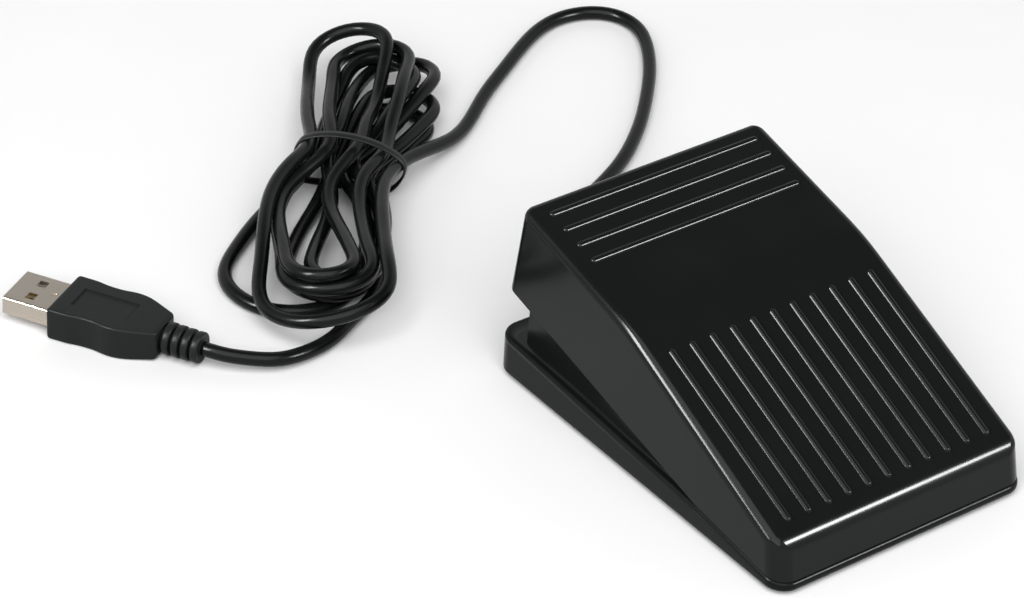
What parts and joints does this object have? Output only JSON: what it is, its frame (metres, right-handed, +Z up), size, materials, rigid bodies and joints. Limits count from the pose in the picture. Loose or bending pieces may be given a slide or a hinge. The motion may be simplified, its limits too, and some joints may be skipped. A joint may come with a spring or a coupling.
{
  "type": "foot pedal switch",
  "caption": "Wedge-shaped black plastic foot pedal hinged on a low base, with raised tread ribs, return springs, a lever switch inside, and a tied cord ending in a flat data plug.",
  "frame": {"origin": "on the table under the middle of the base, at the underside of the rubber feet", "axes": "+Z up; +Y along the base towards the tall end where the cord leaves; +X to the right seen from the heel end"},
  "size_m": [0.2013, 0.2255, 0.0446],
  "materials": {
    "foot_rubber": "matte",
    "steel": "satin",
    "pedal_plastic": "gloss",
    "base_plastic": "satin",
    "board_laminate": "satin",
    "dark_plastic": "matte",
    "spring_strip": "satin",
    "red_plastic": "satin",
    "contact_metal": "satin",
    "bright_can": "satin",
    "pale_plastic": "satin",
    "wire_sleeve": "satin",
    "soft_vinyl": "matte",
    "cord_vinyl": "satin",
    "plated_sheet": "satin"
  },
  "bodies": {
    "base": {"base_tray": "base_plastic", "base_deck": "base_plastic", "foot_front_left": "foot_rubber", "foot_front_right": "foot_rubber", "foot_rear_left": "foot_rubber", "foot_rear_right": "foot_rubber", "hinge_pin": "steel", "pin_clip_left": "steel", "pin_clip_right": "steel", "spring_left": "steel", "spring_right": "steel", "circuit_board": "board_laminate", "board_screw_front_left": "steel", "board_screw_front_right": "steel", "board_screw_rear_left": "steel", "board_screw_rear_right": "steel", "switch_case": "dark_plastic", "switch_terminals": "contact_metal", "controller_chip": "dark_plastic", "crystal": "bright_can", "capacitor": "dark_plastic", "wire_header": "pale_plastic", "wire_plug": "pale_plastic", "inner_wires": "wire_sleeve", "cable_clamp": "dark_plastic", "clamp_screw_left": "steel", "clamp_screw_right": "steel", "cord_gland": "soft_vinyl", "cord_tail": "cord_vinyl", "cord_to_hank": "cord_vinyl", "cord_hank": "cord_vinyl", "cord_tie": "cord_vinyl", "cord_to_plug": "cord_vinyl", "plug_relief": "soft_vinyl", "plug_grip": "soft_vinyl", "plug_shell": "plated_sheet", "plug_tongue": "pale_plastic", "plug_contacts": "contact_metal"},
    "pedal": {"pedal_cover": "pedal_plastic"},
    "lever": {"switch_lever": "spring_strip"},
    "plunger": {"switch_plunger": "red_plastic"}
  },
  "joints": [
    {"name": "pedal_press", "type": "hinge", "parent": "base", "child": "pedal", "pos_m": [0, -0.019, 0.009], "axis": [-1, 0, 0], "range_deg": [0, 8], "stiffness_Nm_per_rad": 2.5, "springref_deg": -6.88, "deforming": ["spring_left", "spring_right"]},
    {"name": "lever_tilt", "type": "hinge", "parent": "base", "child": "lever", "pos_m": [0, -0.01, 0.0178], "axis": [-1, 0, 0], "range_deg": [0, 11.2]},
    {"name": "plunger_slide", "type": "slide", "parent": "base", "child": "plunger", "axis": [0, 0, -1], "range_m": [0, 0.0012]}
  ],
  "couplings": [
    {"joint": "lever_tilt", "follows": "pedal_press", "ratio": 1.375},
    {"joint": "plunger_slide", "follows": "pedal_press", "m_per_rad": 0.0082}
  ]
}
